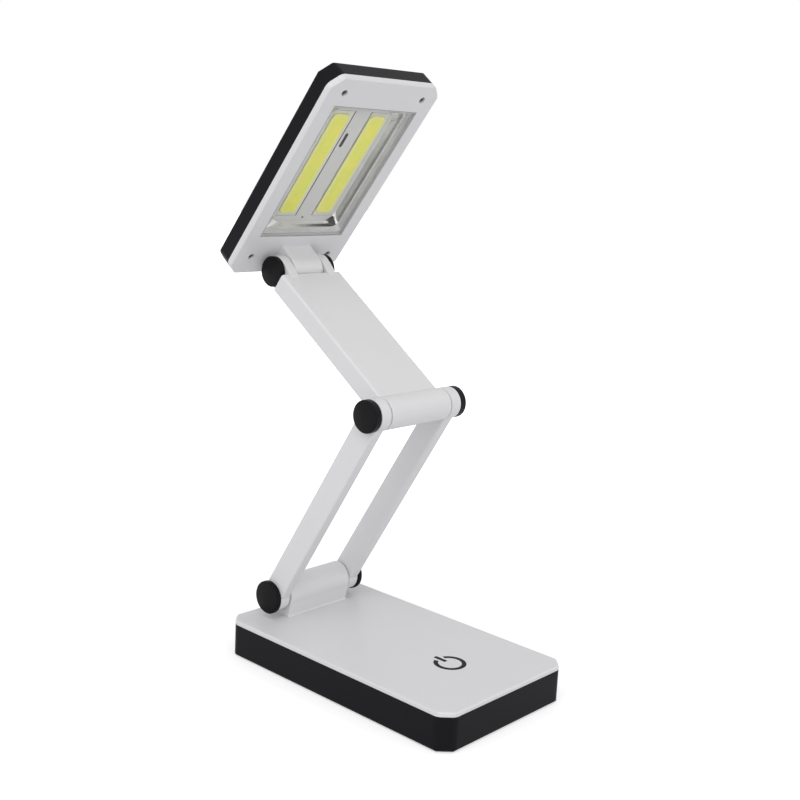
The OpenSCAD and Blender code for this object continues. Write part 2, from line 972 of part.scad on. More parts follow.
module elbow_cap_left() {
    color("#1d1d20")
        on_elbow()
            left_cap(elbow_cap_r, bar_out, seat_r, elbow_cap_t);
}

module elbow_cap_right() {
    color("#1d1d20")
        on_elbow()
            hinge_cap(elbow_cap_r, bar_out, seat_r, elbow_cap_t);
}

module elbow_washers() {
    color("#d8d4c4")
        on_upper()
            washers(barrel_end, washer_r, bolt_r);
}

// Outline of the slab seen from its front, from the elbow axis to the shoulders
module slab_plan(inset, z0, z1) {
    grow = (slab_w_head - slab_w_elbow) / 2 / shoulder_z;
    half = slab_w_elbow / 2 - inset;
    polygon([
        [-half - grow * z0, z0], [half + grow * z0, z0], [half + grow * z1, z1], [-half - grow * z1, z1]
    ]);
}

// Slab between two prisms with rounded edges, each following one of its tapering sides
module slab_solid() {
    intersection() {
        slab_prism();
        mirror([1, 0, 0])
            slab_prism();
        translate([-slab_w_head, -slab_t, 0])
            cube([2 * slab_w_head, 2 * slab_t, shoulder_z]);
    }
}

module slab_prism() {
    translate([slab_w_elbow / 2, 0, 0])
        rotate([0, slab_taper, 0])
            translate([-slab_w_head, 0, 0])
                linear_extrude(2 * upper_l, center = true)
                    round_rect(2 * slab_w_head, slab_t, slab_edge);
}

// Upper arm: elbow barrel, hollow slab and the two ears of the head hinge
module upper_arm() {
    color("#e9e9ec")
        on_upper()
            difference() {
                union() {
                    x_eye(eye_r, -barrel_end, barrel_end, eye_edge);
                    slab_solid();
                    for (side = [0, 1])
                        mirror([side, 0, 0]) {
                            translate([0, 0, upper_l])
                                x_eye(eye_r, ear_in, ear_out, eye_edge);
                            translate([ear_in, 0, shoulder_z - eye_r])
                                rotate([90, 0, 90])
                                    linear_extrude(ear_t)
                                        polygon([
                                            [-slab_t / 2 + slab_edge, 0], [slab_t / 2 - slab_edge, 0],
                                            [eye_r * cos(ear_slope), eye_r + shoulder_in - eye_r * sin(ear_slope)],
                                            [-eye_r * cos(ear_slope), eye_r + shoulder_in - eye_r * sin(ear_slope)]
                                        ]);
                        }
                }
                x_cylinder(bolt_r + run_gap, -barrel_end - over, barrel_end + over);
                translate([0, 0, upper_l]) {
                    x_cylinder(barrel_r + turn_gap, -ear_in, ear_in);
                    x_cylinder(head_bolt_r + run_gap, -ear_out - over, ear_out + over);
                    for (side = [0, 1])
                        mirror([side, 0, 0])
                            x_cylinder(head_seat_r, ear_out - head_seat_depth, ear_out + over);
                }
                upper_hollow();
            }
}

// Hollow of the slab with its posts left standing, and the rebate of the cover
module upper_hollow() {
    difference() {
        rotate([90, 0, 0])
            translate([0, 0, -slab_t / 2 - over])
                linear_extrude(slab_t + over - slab_wall)
                    slab_plan(slab_wall + cover_ledge, slab_inner_z0, slab_inner_z1);
        cover_places()
            rotate([90, 0, 0])
                translate([0, 0, -slab_t / 2 + cover_plate_t])
                    cylinder(r = cover_post_r, h = slab_t);
    }
    rotate([90, 0, 0])
        translate([0, 0, -slab_t / 2 - over])
            linear_extrude(cover_plate_t + over)
                slab_plan(slab_wall, slab_inner_z0 - cover_ledge, slab_inner_z1 + cover_ledge);
    cover_places()
        rotate([90, 0, 0])
            translate([0, 0, -slab_t / 2])
                cylinder(r = cover_screw_r + run_gap, h = cover_screw_l);
}

// The screws of the cover sit on the middle line
module cover_places() {
    for (z = [slab_inner_z0 + cover_screw_in, slab_inner_z1 - cover_screw_in])
        translate([0, 0, z])
            children();
}

// Rear cover of the slab, flush in its rebate
module upper_arm_cover() {
    color("#e9e9ec")
        on_upper()
            difference() {
                rotate([90, 0, 0])
                    translate([0, 0, -slab_t / 2])
                        linear_extrude(cover_plate_t)
                            slab_plan(
                                slab_wall + seat_gap, slab_inner_z0 - cover_ledge + seat_gap,
                                slab_inner_z1 + cover_ledge - seat_gap
                            );
                cover_places()
                    rotate([90, 0, 0])
                        translate([0, 0, -slab_t / 2 - over]) {
                            cylinder(r = cover_screw_r + run_gap, h = cover_plate_t + 2 * over);
                            cylinder(r = cover_screw_head_r + seat_gap, h = over + cover_screw_head_t);
                        }
            }
}

module upper_cover_screws() {
    color("#9a9ca0")
        on_upper()
            cover_places()
                rotate([90, 0, 0])
                    translate([0, 0, -slab_t / 2])
                        screw(cover_screw_head_r, cover_screw_head_t, cover_screw_r, 0, cover_screw_l);
}

// Lead beside the posts, lying on the rear cover
module upper_lead() {
    color("#b23b32")
        on_upper()
            translate([cover_post_r + 2 * lead_r, slab_t / 2 - cover_plate_t - lead_r - seat_gap, slab_inner_z0 + lead_r])
                cylinder(r = lead_r, h = slab_inner_z1 - slab_inner_z0 - 2 * lead_r);
}

module head_bolt() {
    color("#b4b6ba")
        on_head_hinge()
            hinge_bolt(head_bolt_r, head_bolt_head_r, head_bolt_head_t, ear_out, head_seat_depth);
}

module head_nut() {
    color("#b4b6ba")
        on_head_hinge()
            hinge_nut(head_bolt_r, head_bolt_head_r, head_bolt_head_t, ear_out, head_seat_depth);
}

module head_cap_left() {
    color("#1d1d20")
        on_head_hinge()
            left_cap(head_cap_r, ear_out, head_seat_r, head_cap_t);
}

module head_cap_right() {
    color("#1d1d20")
        on_head_hinge()
            hinge_cap(head_cap_r, ear_out, head_seat_r, head_cap_t);
}

module head_washers() {
    color("#d8d4c4")
        on_head()
            washers(knuckle_w / 2, washer_r, head_bolt_r);
}

// White front: plate with the window, locating lip, hinge barrel and screw holes
module head_front() {
    color("#e9e9ec")
        difference() {
            union() {
                on_face() {
                    translate([0, head_mid, 0])
                        bevel_block(head_w, head_l, front_t, head_cut, head_round, face_bevel, 0);
                    translate([0, head_mid, front_t / 2])
                        lip_ring(
                            head_w - 2 * back_wall - 2 * seat_gap, head_l - 2 * back_wall - 2 * seat_gap,
                            inner_cut(head_cut, back_wall + seat_gap), head_lip_wall, head_lip_h + front_t / 2
                        );
                }
                on_head() {
                    x_eye(barrel_r, -knuckle_w / 2, knuckle_w / 2, knuckle_edge);
                    translate([-knuckle_w / 2, 0, -barrel_r])
                        cube([knuckle_w, face_y + front_t / 2, 2 * barrel_r]);
                }
            }
            on_head()
                x_cylinder(head_bolt_r + run_gap, -knuckle_w / 2 - over, knuckle_w / 2 + over);
            on_face() {
                translate([-window_w / 2, window_z, -over])
                    cube([window_w, window_l, front_t + 2 * over]);
                head_screw_places() {
                    translate([0, 0, -over])
                        cylinder(r = head_screw_r + run_gap, h = front_t + 2 * over);
                    translate([0, 0, -over])
                        cylinder(r = head_screw_hole_r, h = over + head_screw_sunk + head_screw_head_t);
                }
            }
        }
}

module head_screw_places() {
    for (x = [-1, 1], z = [screw_low - head_tail, head_l - head_tail - screw_top])
        translate([x * (head_w / 2 - screw_side), z, 0])
            children();
}

// Black back shell with screw bosses and ribs behind the heat spreader
module head_back() {
    color("#26262a")
        on_face()
            difference() {
                union() {
                    difference() {
                        translate([0, head_mid, front_t])
                            bevel_block(head_w, head_l, back_t, head_cut, head_round, 0, back_bevel);
                        translate([0, head_mid, front_t - over])
                            linear_extrude(back_t - back_wall + over)
                                cut_rect(
                                    head_w - 2 * back_wall, head_l - 2 * back_wall,
                                    inner_cut(head_cut, back_wall)
                                );
                    }
                    head_screw_places()
                        translate([0, 0, front_t])
                            cylinder(r = head_boss_r, h = back_t - back_wall / 2);
                    for (x = [-1, 1])
                        translate([x * window_w / 4 - rib_t / 2, window_z, plate_y + spreader_t - face_y])
                            cube([rib_t, window_l, back_inner_y - plate_y - spreader_t + back_wall / 2]);
                }
                head_screw_places()
                    translate([0, 0, front_t - over])
                        cylinder(r = head_screw_r + run_gap, h = over + back_t - back_wall - head_screw_end / 2);
            }
}

module head_screws() {
    color("#5c5e62")
        on_face()
            head_screw_places()
                screw(
                    head_screw_head_r, head_screw_head_t, head_screw_r, head_screw_sunk,
                    front_t + back_t - back_wall - head_screw_end
                );
}

// Clear cover in the window
module window_lens() {
    color("#dfe6e8", 0.35)
        on_face()
            translate([0, window_mid, lens_y - face_y])
                linear_extrude(lens_t)
                    square([window_w - 2 * seat_gap, window_l - 2 * seat_gap], center = true);
}

// Reflector with stepped walls, a flange behind the front and a slot for each board
module reflector_tray() {
    color("#d3d6d6")
        on_face()
            translate([0, window_mid, 0])
                difference() {
                    union() {
                        translate([0, 0, tray_y - face_y])
                            linear_extrude(plate_y - tray_y)
                                square([window_w - 2 * seat_gap, window_l - 2 * seat_gap], center = true);
                        translate([0, 0, front_t])
                            linear_extrude(flange_t)
                                square([window_w + 2 * flange, window_l + 2 * flange], center = true);
                    }
                    reflector_hollow();
                    for (side = [-1, 1])
                        board_slot(side);
                    translate([wire_slot_x - wire_slot_w / 2, wire_slot_z - wire_slot_l / 2, tray_depth - over])
                        cube([wire_slot_w, wire_slot_l, tray_floor_t + 2 * over]);
                    translate([0, peg_hole_z, tray_depth - over])
                        cylinder(r = peg_hole_r, h = tray_floor_t + 2 * over);
                }
}

// Two sloping hollows, the deeper one set in by the width of a step
module reflector_hollow() {
    mouth_w = window_w - 2 * seat_gap - 2 * tray_wall;
    mouth_l = window_l - 2 * seat_gap - 2 * tray_wall;
    ledge_w = mouth_w - 2 * step_lean;
    ledge_l = mouth_l - 2 * step_lean;
    hull() {
        translate([0, 0, tray_depth - face_gap])
            linear_extrude(face_gap)
                round_rect(window_w - 2 * floor_side, window_l - 2 * floor_end, floor_r);
        translate([0, 0, step_depth])
            linear_extrude(face_gap)
                round_rect(ledge_w - 2 * step_w, ledge_l - 2 * step_w, step_r);
    }
    hull() {
        translate([0, 0, step_depth])
            linear_extrude(face_gap)
                round_rect(ledge_w, ledge_l, step_r);
        translate([0, 0, tray_y - face_y - face_gap])
            linear_extrude(face_gap)
                round_rect(mouth_w, mouth_l, mouth_r);
    }
}

// Slot of one board, with a wider gap on its inner side for the wires
module board_slot(side) {
    board_half = strip_w / 2 + board_edge;
    inner = strip_pitch / 2 - board_half - slot_gap;
    outer = strip_pitch / 2 + board_half + seat_gap;
    slot_l = strip_l + 2 * light_board_end + 2 * seat_gap;
    translate([side * (inner + outer) / 2, strip_rise, tray_depth - over])
        linear_extrude(tray_floor_t + 2 * over)
            square([outer - inner, slot_l], center = true);
}

// Metal plate behind the boards
module heat_spreader() {
    color("#b9bcc0")
        on_face()
            translate([0, window_mid, plate_y - face_y])
                linear_extrude(spreader_t)
                    cut_rect(window_w - 2 * tray_wall, window_l - 2 * tray_wall, tray_wall);
}

// Board of one light strip, glued to the heat spreader
module light_board(side) {
    color("#dcdccf")
        on_face()
            translate([side * strip_pitch / 2, window_mid + strip_rise, floor_y - face_y])
                linear_extrude(tray_floor_t)
                    square([strip_w + 2 * board_edge, strip_l + 2 * light_board_end], center = true);
}

module light_board_left() {
    light_board(-1);
}

module light_board_right() {
    light_board(1);
}

// Yellow light-giving layer on one board
module light_strip(side) {
    color("#e6dc4a")
        on_face()
            translate([side * strip_pitch / 2, window_mid + strip_rise, floor_y - face_y - strip_t])
                linear_extrude(strip_t)
                    round_rect(strip_w, strip_l, strip_corner);
}

module light_strip_left() {
    light_strip(-1);
}

module light_strip_right() {
    light_strip(1);
}

base_shell();
base_cover();
battery_door();
door_screw();
battery_cell_1();
battery_cell_2();
battery_cell_3();
plus_contacts();
minus_contacts();
touch_board();
touch_pad();
power_symbol();
hinge_block();
hinge_screws();
rubber_feet();
base_screws();
base_washers();
base_bolt();
base_nut();
base_cap_left();
base_cap_right();
lower_bar_left();
lower_bar_right();
lower_lead();
elbow_bolt();
elbow_nut();
elbow_cap_left();
elbow_cap_right();
elbow_washers();
upper_arm();
upper_arm_cover();
upper_cover_screws();
upper_lead();
head_bolt();
head_nut();
head_cap_left();
head_cap_right();
head_washers();
head_front();
head_back();
window_lens();
reflector_tray();
heat_spreader();
light_board_left();
light_board_right();
light_strip_left();
light_strip_right();
head_screws();
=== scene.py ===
"""Looks of the accordion desk lamp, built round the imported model, in metres."""

import math

import bmesh
import bpy
from mathutils import Matrix, Vector


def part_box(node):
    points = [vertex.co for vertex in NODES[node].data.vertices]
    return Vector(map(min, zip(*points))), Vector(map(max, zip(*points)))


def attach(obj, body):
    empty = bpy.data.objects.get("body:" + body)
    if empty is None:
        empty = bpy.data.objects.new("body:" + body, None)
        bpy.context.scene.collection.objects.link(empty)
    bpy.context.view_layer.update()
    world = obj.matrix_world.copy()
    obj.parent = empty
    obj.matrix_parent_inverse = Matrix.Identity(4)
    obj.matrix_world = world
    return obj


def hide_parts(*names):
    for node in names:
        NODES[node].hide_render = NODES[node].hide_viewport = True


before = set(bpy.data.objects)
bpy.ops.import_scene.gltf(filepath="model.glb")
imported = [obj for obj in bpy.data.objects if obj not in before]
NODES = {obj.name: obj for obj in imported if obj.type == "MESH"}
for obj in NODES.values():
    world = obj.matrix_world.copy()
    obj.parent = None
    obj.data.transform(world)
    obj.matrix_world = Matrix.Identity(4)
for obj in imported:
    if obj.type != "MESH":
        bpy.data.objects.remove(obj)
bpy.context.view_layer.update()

MM = 0.001

# Middle of the base, seen from above; the camera was fitted in a frame that starts there
BASE_LOW, BASE_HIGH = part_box("base_shell")
BASE_MIDDLE = Vector(((BASE_LOW.x + BASE_HIGH.x) / 2, (BASE_LOW.y + BASE_HIGH.y) / 2, 0))

# Camera, fitted to lines and points measured in the photograph
CAMERA_YAW = -47.45
CAMERA_PITCH = 11.62
CAMERA_ROLL = 2.83
CAMERA_PLACE = Vector((-395.45, -360.33, 242.13)) * MM
CAMERA_LENS = 54.77
CAMERA_SENSOR = 36.0
CAMERA_NEAR = 10 * MM

# Light: the world's own level, the white that the camera sees, and the place and power of each area
# lamp, all of one size and aimed at one target above the middle of the base
WORLD_LIGHT = 0.58
WHITE = 1.0
WHITE_COLOUR = (1, 1, 1)
LAMP_SIDE = 0.9
LAMP_TARGET = Vector((0, 0, 0.12))
LAMPS = {
    "key": ((-0.70, -0.35, 0.95), 3.2),
    "side": ((-1.15, 0.05, 0.35), 3.1),
    "front": ((-0.15, -1.2, 0.45), 3.4),
    "fill": ((1.0, -0.3, 0.5), 1.5),
}

# Floor: its colour, size and mesh, the strength of its glow near the lamp and far from it, where it is
# plain white, and the distances between which one turns into the other
FLOOR_COLOUR = (0.74, 0.74, 0.75)
FLOOR_SIZE = 6.0
FLOOR_SQUARES = 8
FLOOR_GLOW = 0.49
FLOOR_GLOW_FAR = 1.0
FLOOR_NEAR = 0.14
FLOOR_FAR = 0.5

# Shading: radius by which it rounds the edges of the mouldings, waves per metre of the drift between a
# finish's two colours, depth of its grain, and how fine the noises are
EDGE_ROUND = 0.35 * MM
EDGE_SAMPLES = 6
DRIFT_SCALE = 60
GRAIN_DEPTH = 0.02 * MM
BROAD_DETAIL = 2.0
FINE_DETAIL = 3.0
GRAIN_DETAIL = 4.0
SMOOTH_NOISE = 0.5
ROUGH_NOISE = 0.6

# Light strips: crown and the shoulder that leads up to it, corner radius, mesh rows and columns, and how
# much wider and further to the left they are than the flat CAD strips
BEAD_CROWN = 0.65 * MM
BEAD_SHOULDER = 1.2 * MM
BEAD_CORNER = 2.8 * MM
BEAD_ROWS = 96
BEAD_COLUMNS = 20
BEAD_WIDER = 0.6 * MM
BEAD_ASIDE = 0.75 * MM

# Their phosphor: its two yellows, the patches of them in waves per metre and where one turns into the
# other, the same for the specks with their share and relief, the pale rim and where it starts, and the
# roughness
PHOSPHOR = ((0.51, 0.57, 0.075), (0.61, 0.58, 0.085))
PATCH_SCALE = 160
PATCH_TURN = (0.35, 0.65)
SPECK_COLOUR = (0.55, 0.44, 0.03)
SPECK_SCALE = 1100
SPECK_TURN = (0.5, 0.75)
SPECK_SHARE = 0.7
SPECK_BUMP = 0.6
SPECK_DEPTH = 0.05 * MM
RIM_COLOUR = (0.56, 0.57, 0.26)
RIM_START = 0.55
PHOSPHOR_ROUGH = (0.42, 0.6)

# Clear cover: bevel of its rims, and least cosine between one of its flat faces and the way out of the
# window. Its refraction is low, so that the strips behind it lie where the photograph shows them
RIM_BEVEL = 0.7 * MM
RIM_STEPS = 3
FLAT_FACE = 0.99
CLEAR_COLOUR = (0.96, 0.96, 0.955)
CLEAR_SHADOW = (0.93, 0.93, 0.925)
CLEAR_IOR = 1.15
CLEAR_ROUGH = (0.01, 0.05)
HAZE_SCALE = 400

# Vertices this close together become one, and so do faces that meet at less than this angle
WELD = 0.001 * MM
WELD_ANGLE = math.radians(1)

# Reflector: depth of the ledge in its walls, how far the painted shade strip of the sides and the painted
# dark reflection of the ends reach down from it, and the softness of these borders
LEDGE_DEPTH = 3.6 * MM
LEDGE_SHADE_BAND = 1.0 * MM
DARK_REFLECTION_BAND = 1.4 * MM
LEDGE_BLUR = 0.15 * MM

# Its painted glints and dark reflections lie in the lower right corner: they set in and are full at these
# places across, and are full from so far below the window's middle
GLINT_START = -6.0 * MM
GLINT_FULL = 12.0 * MM
GLINT_END = 10.0 * MM

# Its colours, in pairs that drift into each other, and the clouds of that drift in waves per metre
CLOUD_SCALE = 180
# The side walls are a darker copy of the end walls: painted shade
SHADED_SIDE_WALL = ((0.37, 0.375, 0.35), (0.45, 0.455, 0.43))
END_WALL = ((0.42, 0.42, 0.405), (0.50, 0.50, 0.485))
HIGH_WALL = ((0.43, 0.43, 0.44), (0.52, 0.52, 0.53))
REFLECTOR_FLOOR = ((0.42, 0.42, 0.42), (0.47, 0.47, 0.465))
# Painted shade just below the ledge on the side walls
LEDGE_SHADE_COLOUR = (0.22, 0.225, 0.20)
# Painted dark reflection along the lower end wall
DARK_REFLECTION_COLOUR = (0.03, 0.032, 0.028)

# Its roughness and metal, each on polished and on frosted faces, and its grain
REFLECTOR_ROUGH = (0.18, 0.5)
REFLECTOR_METAL = (0.85, 0.1)
REFLECTOR_GRAIN = 900
REFLECTOR_BUMP = 0.12
REFLECTOR_DEPTH = 0.03 * MM

# Where the reflector's faces change: cosine from wall to floor, then the turn from the end wall (0) round
# to the side wall (1), which wobbles a little, and where the painted dark reflection along the end wall stops
# along it
FLOOR_COSINES = (0.93, 0.99)
WOBBLE_SCALE = 420
WOBBLE = (-0.1, 0.1)
WOBBLE_NOISE = (0.3, 0.7)
END_TO_SIDE = (0.45, 0.55)
WALL_TO_CORNER = (0.08, 0.14)
DARK_REFLECTION_END = (0.56, 0.64)

# Grey levels of the painted dark reflections and white glints in the polished corners along that turn
CORNER_GLINT_STEPS = (
    (0.0, 0.42), (0.3, 0.4), (0.42, 0.01), (0.62, 0.008), (0.68, 1.0), (0.84, 1.0), (0.9, 0.04),
    (0.96, 0.05), (1.0, 0.3),
)

# Grommet of the wires: place across and up from the window's middle, half of its straight part, and the
# radius and height of each ring of its profile, from the foot over the crown to the hollow
GROMMET_PLACE = (-2.5 * MM, 15.8 * MM)
GROMMET_STRAIGHT = 3.1 * MM
GROMMET_RINGS = (
    (0.8 * MM, 0.0), (0.8 * MM, 0.2 * MM), (0.68 * MM, 0.32 * MM), (0.5 * MM, 0.32 * MM),
    (0.4 * MM, 0.2 * MM), (0.38 * MM, 0.05 * MM),
)
GROMMET_STEPS = 32

# Plain finishes: the two colours, the roughness and its swing, the grain in waves per metre and its
# strength, and what sets a finish apart from PLAIN
PLAIN = {"metal": 0.0, "specular": 0.5, "coat": 0.0, "coat_rough": 0.1}
FINISHES = {
    "white_plastic": (
        (0.70, 0.70, 0.71), (0.685, 0.685, 0.70), 0.42, 0.04, 900, 0.25,
        {"coat": 0.08, "coat_rough": 0.2, "specular": 0.3},
    ),
    "black_plastic": (
        (0.006, 0.006, 0.008), (0.008, 0.008, 0.010), 0.42, 0.05, 1400, 0.5, {"specular": 0.07},
    ),
    "cap_plastic": ((0.005, 0.005, 0.006), (0.008, 0.008, 0.009), 0.38, 0.05, 1600, 0.5, {"specular": 0.07}),
    "symbol_inlay": ((0.008, 0.008, 0.01), (0.012, 0.012, 0.014), 0.5, 0.05, 2000, 0.4, {"specular": 0.08}),
    "foot_rubber": ((0.02, 0.02, 0.02), (0.03, 0.03, 0.03), 0.75, 0.08, 2200, 0.8, {}),
    "bolt_steel": ((0.55, 0.55, 0.56), (0.48, 0.48, 0.49), 0.3, 0.08, 2500, 0.4, {"metal": 1.0}),
    "screw_steel": ((0.16, 0.16, 0.17), (0.12, 0.12, 0.13), 0.35, 0.08, 2500, 0.4, {"metal": 1.0}),
    "washer_nylon": ((0.72, 0.70, 0.63), (0.68, 0.66, 0.6), 0.45, 0.05, 1500, 0.3, {}),
    "cell_jacket": ((0.42, 0.43, 0.46), (0.38, 0.39, 0.42), 0.25, 0.05, 800, 0.2, {"metal": 0.8}),
    "contact_plate": ((0.62, 0.62, 0.63), (0.55, 0.55, 0.57), 0.22, 0.06, 2000, 0.3, {"metal": 1.0}),
    "board_green": ((0.03, 0.16, 0.07), (0.02, 0.12, 0.05), 0.35, 0.05, 1500, 0.4, {}),
    "pad_foam": ((0.02, 0.02, 0.022), (0.03, 0.03, 0.032), 0.9, 0.05, 3000, 1.0, {}),
    "lead_red": ((0.35, 0.02, 0.015), (0.3, 0.015, 0.01), 0.45, 0.05, 2000, 0.3, {}),
    "dark_spreader": ((0.03, 0.03, 0.03), (0.05, 0.05, 0.05), 0.6, 0.08, 2000, 0.4, {"metal": 0.5}),
    "led_board": ((0.48, 0.48, 0.42), (0.45, 0.45, 0.39), 0.4, 0.05, 2000, 0.3, {}),
    # Opaque grey of the clear cover's bevelled rims: a cut edge and a painted shadow line round the window
    "frosted_rim_shade": ((0.42, 0.42, 0.425), (0.48, 0.48, 0.485), 0.35, 0.05, 1500, 0.4, {}),
    "grommet_rubber": ((0.012, 0.012, 0.014), (0.02, 0.02, 0.022), 0.6, 0.05, 2200, 0.5, {}),
}

# CAD nodes of each plain finish
PAINTED = {
    "white_plastic": (
        "base_cover", "hinge_block", "lower_bar_left", "lower_bar_right", "upper_arm", "upper_arm_cover",
        "head_front",
    ),
    "black_plastic": ("base_shell", "battery_door", "head_back"),
    "cap_plastic": (
        "base_cap_left", "base_cap_right", "elbow_cap_left", "elbow_cap_right", "head_cap_left",
        "head_cap_right",
    ),
    "symbol_inlay": ("power_symbol",),
    "foot_rubber": ("rubber_feet",),
    "bolt_steel": (
        "base_bolt", "base_nut", "elbow_bolt", "elbow_nut", "head_bolt", "head_nut", "door_screw",
        "base_screws", "hinge_screws", "upper_cover_screws",
    ),
    "screw_steel": ("head_screws",),
    "washer_nylon": ("base_washers", "elbow_washers", "head_washers"),
    "cell_jacket": ("battery_cell_1", "battery_cell_2", "battery_cell_3"),
    "contact_plate": ("plus_contacts", "minus_contacts"),
    "board_green": ("touch_board",),
    "pad_foam": ("touch_pad",),
    "lead_red": ("lower_lead", "upper_lead"),
    "dark_spreader": ("heat_spreader",),
    "led_board": ("light_board_left", "light_board_right"),
}


def new_material(name):
    """A material with an empty tree, its tree and its output node."""
    material = bpy.data.materials.new(name)
    material.use_nodes = True
    tree = material.node_tree
    tree.nodes.clear()
    return material, tree, tree.nodes.new("ShaderNodeOutputMaterial")


def plug(tree, socket, value):
    """Links an output socket to an input, or sets the input to a number or a colour."""
    if isinstance(value, bpy.types.NodeSocket):
        tree.links.new(value, socket)
    elif socket.type == "RGBA":
        socket.default_value = (*value, 1)
    else:
        socket.default_value = value


def add(tree, kind, **sockets):
    """Adds a node and plugs its inputs; underscores in their names stand for spaces."""
    node = tree.nodes.new(kind)
    for name, value in sockets.items():
        plug(tree, node.inputs[name.replace("_", " ")], value)
    return node


def maths(tree, operation, first, second=0.0):
    """One Math node; each value is a number or an output socket."""
    node = tree.nodes.new("ShaderNodeMath")
    node.operation = operation
    plug(tree, node.inputs[0], first)
    plug(tree, node.inputs[1], second)
    return node.outputs["Value"]


def vector_maths(tree, operation, first, second=(0, 0, 0)):
    """One Vector Math node that gives a number."""
    node = tree.nodes.new("ShaderNodeVectorMath")
    node.operation = operation
    tree.links.new(first, node.inputs[0])
    node.inputs[1].default_value = second
    return node.outputs["Value"]


def noise(tree, scale, detail=BROAD_DETAIL, roughness=SMOOTH_NOISE):
    """Noise in the piece's own frame; scale is in waves per metre."""
    where = tree.nodes.new("ShaderNodeTexCoord").outputs["Object"]
    made = add(tree, "ShaderNodeTexNoise", Vector=where, Scale=scale, Detail=detail, Roughness=roughness)
    return made.outputs["Fac"]


def ramp(tree, value, low, high, start=0.0, end=1.0):
    """Maps start..end to low..high."""
    made = add(tree, "ShaderNodeMapRange", Value=value, From_Min=start, From_Max=end, To_Min=low, To_Max=high)
    return made.outputs["Result"]


def rise(tree, value, start, end):
    """Goes from 0 to 1 while the value goes from start to end."""
    return ramp(tree, value, 0.0, 1.0, start, end)


def fall(tree, value, start, end):
    """Goes from 1 to 0 while the value goes from start to end."""
    return ramp(tree, value, 1.0, 0.0, start, end)


def colour_steps(tree, value, steps):
    """Colours that follow a value from 0 to 1; each step is a place and a grey level."""
    made = add(tree, "ShaderNodeValToRGB", Fac=value)
    elements = made.color_ramp.elements
    while len(elements) < len(steps):
        elements.new(1.0)
    for element, (place, grey) in zip(elements, steps):
        element.position = place
        element.color = (grey, grey, grey, 1)
    return made.outputs["Color"]


def mix_colours(tree, factor, first, second):
    """Mixes two colours, each fixed or an output socket, by a varying factor."""
    made = tree.nodes.new("ShaderNodeMix")
    made.data_type = "RGBA"
    plug(tree, made.inputs["Factor"], factor)
    plug(tree, made.inputs["A"], first)
    plug(tree, made.inputs["B"], second)
    return made.outputs["Result"]


def mix_shaders(tree, factor, first, second):
    """Mixes two shaders by a varying factor."""
    made = add(tree, "ShaderNodeMixShader", Fac=factor)
    tree.links.new(first, made.inputs[1])
    tree.links.new(second, made.inputs[2])
    return made.outputs["Shader"]


def relief(tree, height, strength, depth, **under):
    """Normals of a bump, on top of the normals under it."""
    made = add(tree, "ShaderNodeBump", Height=height, Strength=strength, Distance=depth, **under)
    return made.outputs["Normal"]


def rounded_edges(tree):
    """Normals that run round each edge, as on a moulding."""
    edges = add(tree, "ShaderNodeBevel", Radius=EDGE_ROUND)
    edges.samples = EDGE_SAMPLES
    return edges.outputs["Normal"]


def surface(name):
    """Plain finish: one colour drifts into the other, the roughness swings and a grain gives the bump."""
    first, second, rough, swing, grain, strength, more = FINISHES[name]
    more = {**PLAIN, **more}
    material, tree, output = new_material(name)
    drift = noise(tree, DRIFT_SCALE, FINE_DETAIL)
    fine = noise(tree, grain, GRAIN_DETAIL, ROUGH_NOISE)
    shader = add(
        tree, "ShaderNodeBsdfPrincipled",
        Base_Color=mix_colours(tree, drift, first, second),
        Roughness=ramp(tree, fine, rough - swing, rough + swing),
        Metallic=more["metal"],
        Specular_IOR_Level=more["specular"],
        Coat_Weight=more["coat"],
        Coat_Roughness=more["coat_rough"],
        Normal=relief(tree, fine, strength, GRAIN_DEPTH, Normal=rounded_edges(tree)),
    )
    tree.links.new(shader.outputs["BSDF"], output.inputs["Surface"])
    return material


def wall_turn(tree, normal, across, up):
    """Which wall a point is on: 0 on an end wall, 1 on a side wall, and in between in the corners."""
    along_x = maths(tree, "ABSOLUTE", vector_maths(tree, "DOT_PRODUCT", normal, across))
    along_up = maths(tree, "ABSOLUTE", vector_maths(tree, "DOT_PRODUCT", normal, up))
    share = maths(tree, "DIVIDE", along_x, maths(tree, "ADD", along_x, along_up))
    return maths(tree, "ADD", share, ramp(tree, noise(tree, WOBBLE_SCALE), *WOBBLE, *WOBBLE_NOISE))


def wall_with_painted_light(tree, clouds, turn, over_ledge, painted_glint_reach):
    """Walls below the ledge: ends, and sides painted darker as painted shade and darkest just below the
    ledge; painted glints and dark reflections in the corners, and a painted dark reflection along the ends.
    """
    # Painted shade: the side walls darken just below the ledge
    ledge_shade = rise(tree, over_ledge, -LEDGE_SHADE_BAND, -LEDGE_SHADE_BAND + 2 * LEDGE_BLUR)
    shaded_side_wall = mix_colours(tree, ledge_shade, mix_colours(tree, clouds, *SHADED_SIDE_WALL), LEDGE_SHADE_COLOUR)
    end_wall = mix_colours(tree, clouds, *END_WALL)
    # Side walls a darker copy of the end walls, chosen by which way the wall faces: painted shade
    straight = mix_colours(tree, rise(tree, turn, *END_TO_SIDE), end_wall, shaded_side_wall)
    # Painted glints and dark reflections in the lower corners
    rounding = rise(tree, maths(tree, "PINGPONG", turn, 0.5), *WALL_TO_CORNER)
    corner = maths(tree, "MULTIPLY", painted_glint_reach, rounding)
    polished = mix_colours(tree, corner, straight, colour_steps(tree, turn, CORNER_GLINT_STEPS))
    # Painted dark reflection along the end wall, low and near the lower right corner
    low_dark_reflection = rise(tree, over_ledge, -DARK_REFLECTION_BAND, -DARK_REFLECTION_BAND + 2 * LEDGE_BLUR)
    dark_reflection = maths(tree, "MULTIPLY", low_dark_reflection, fall(tree, turn, *DARK_REFLECTION_END))
    return mix_colours(tree, maths(tree, "MULTIPLY", dark_reflection, painted_glint_reach), polished, DARK_REFLECTION_COLOUR)


